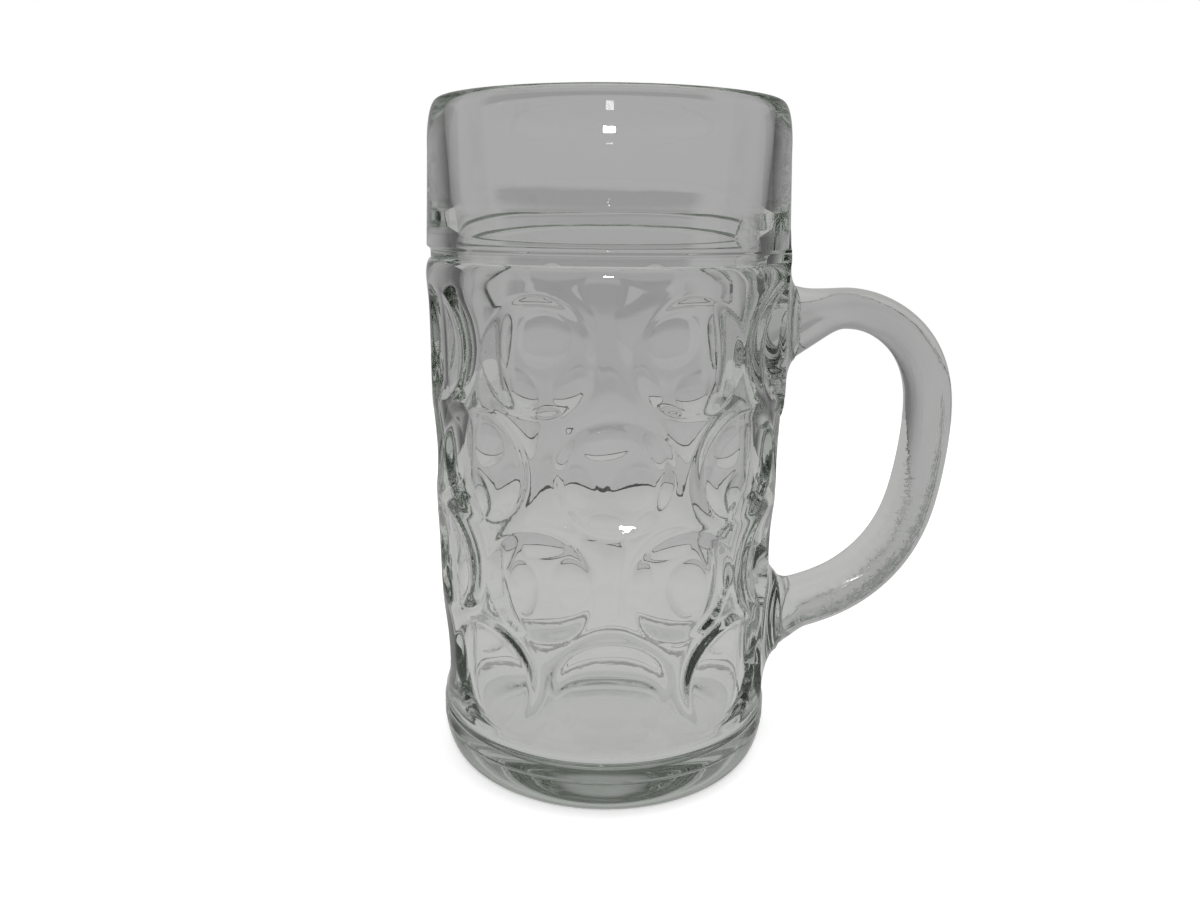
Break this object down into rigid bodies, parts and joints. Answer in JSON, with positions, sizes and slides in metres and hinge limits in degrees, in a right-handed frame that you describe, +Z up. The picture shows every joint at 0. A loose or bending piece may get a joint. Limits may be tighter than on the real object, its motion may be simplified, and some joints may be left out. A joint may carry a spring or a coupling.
{
  "type": "dimpled glass beer mug",
  "caption": "Heavy glass beer mug with a plain rim band, a ring groove, rows of round dimples, a thick foot and a C-shaped handle fused to two pads.",
  "frame": {"origin": "centre of the ring that the mug stands on, on the axis of its body", "axes": "+Z up along the axis of the body, towards the rim; +X towards the handle; +Y sideways"},
  "size_m": [0.1629, 0.1092, 0.202],
  "materials": {
    "body_glass": "clear, fire polished, with a faint grey-green tint in its thick places",
    "handle_glass": "clear, fire polished, with a faint grey-green tint"
  },
  "bodies": {
    "root": {"mug_body": "body_glass", "handle": "handle_glass"}
  },
  "joints": []
}
